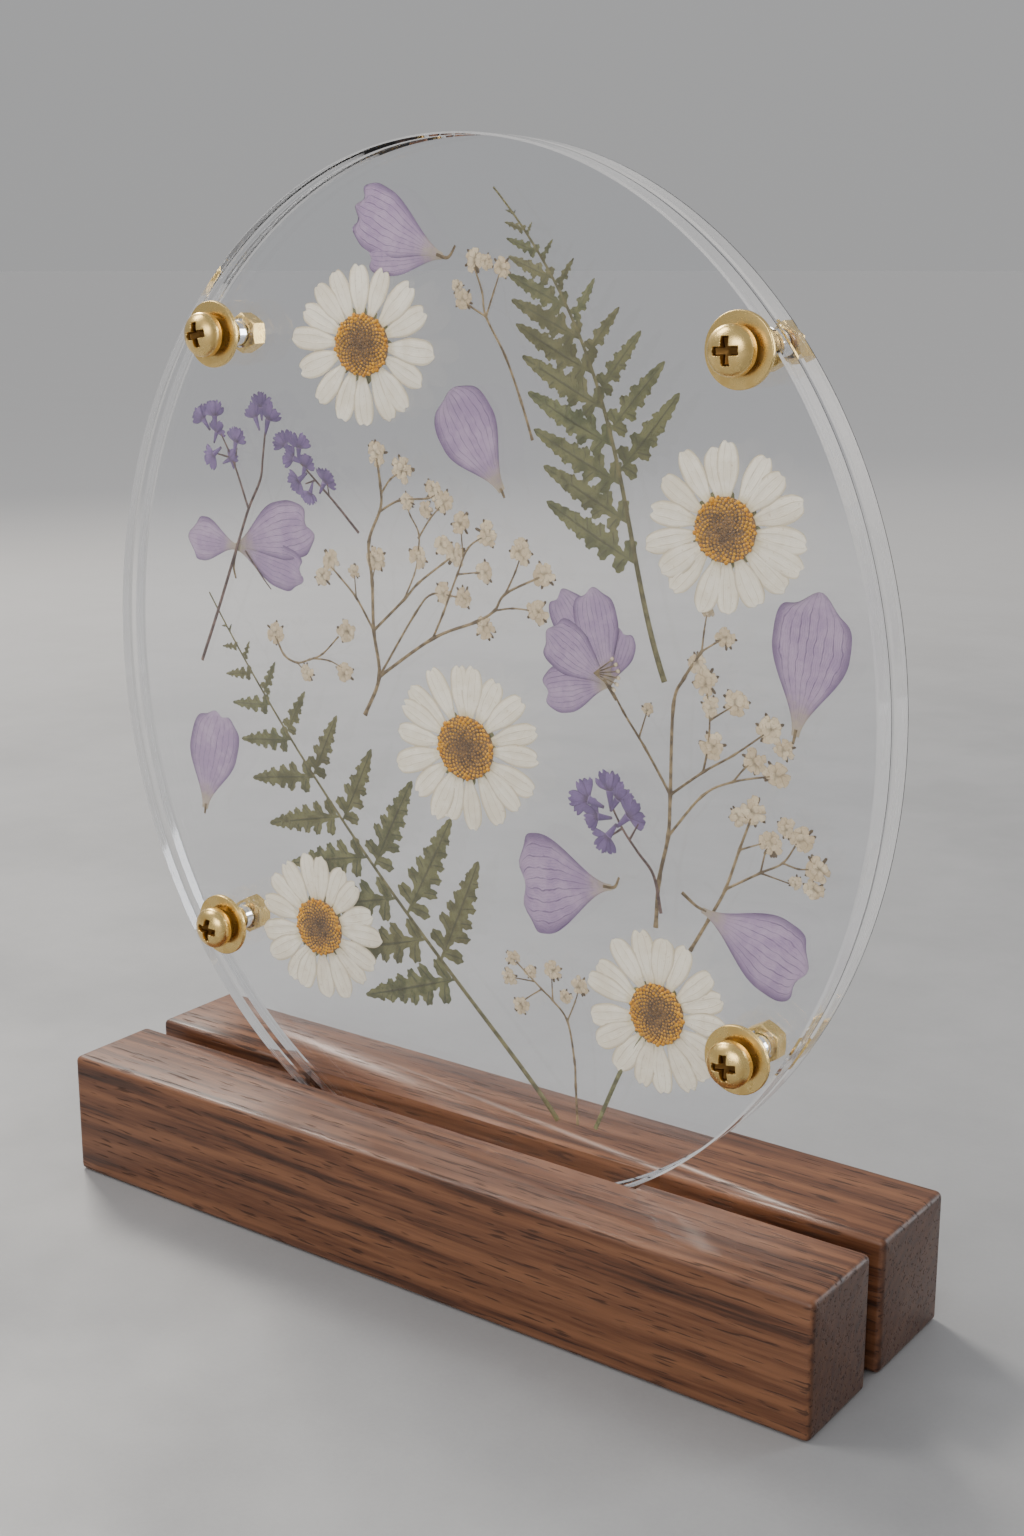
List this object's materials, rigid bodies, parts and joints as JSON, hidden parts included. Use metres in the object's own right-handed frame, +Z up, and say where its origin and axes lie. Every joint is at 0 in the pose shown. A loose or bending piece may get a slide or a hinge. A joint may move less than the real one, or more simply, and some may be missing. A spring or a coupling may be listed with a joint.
{
  "type": "pressed flower frame",
  "caption": "Oval pair of clear acrylic plates, bolted together over pressed daisies, ferns and larkspur, standing upright in a slotted walnut base.",
  "frame": {"origin": "on the surface the base stands on, below the middle of the base's length and depth", "axes": "+X along the base to the right, +Y to the back, +Z up; the front is -Y"},
  "size_m": [0.21, 0.06, 0.2525],
  "materials": {
    "walnut": "oiled satin, eased edges",
    "clear_acrylic": "clear cast acrylic with polished rims",
    "brass": "satin",
    "ivory_petal": "pressed and dried",
    "fern_green": "pressed and dried",
    "dried_spray": "pressed and dried",
    "lilac_petal": "pressed and dried",
    "violet_floret": "pressed and dried"
  },
  "bodies": {
    "root": {"base_front_bar": "walnut", "base_back_bar": "walnut", "base_slot_spacer": "walnut", "plate_front": "clear_acrylic", "plate_back": "clear_acrylic", "screw_top_left": "brass", "screw_top_right": "brass", "screw_bottom_left": "brass", "screw_bottom_right": "brass", "washer_top_left": "brass", "washer_top_right": "brass", "washer_bottom_left": "brass", "washer_bottom_right": "brass", "nut_top_left": "brass", "nut_top_right": "brass", "nut_bottom_left": "brass", "nut_bottom_right": "brass", "daisy_top_left": "ivory_petal", "daisy_right": "ivory_petal", "daisy_centre": "ivory_petal", "daisy_bottom_left": "ivory_petal", "daisy_bottom_right": "ivory_petal", "fern_upper": "fern_green", "fern_lower": "fern_green", "gypsophila_top": "dried_spray", "gypsophila_large": "dried_spray", "gypsophila_left": "dried_spray", "gypsophila_right": "dried_spray", "gypsophila_lower_right": "dried_spray", "gypsophila_bottom": "dried_spray", "larkspur_sprig": "violet_floret", "larkspur_side_sprig": "violet_floret", "larkspur_small": "violet_floret", "larkspur_flower": "lilac_petal", "petal_top": "lilac_petal", "petal_upper": "lilac_petal", "petal_left": "lilac_petal", "petal_right": "lilac_petal", "petal_centre": "lilac_petal", "petal_lower_right": "lilac_petal", "petal_pair_left": "lilac_petal"}
  },
  "joints": []
}
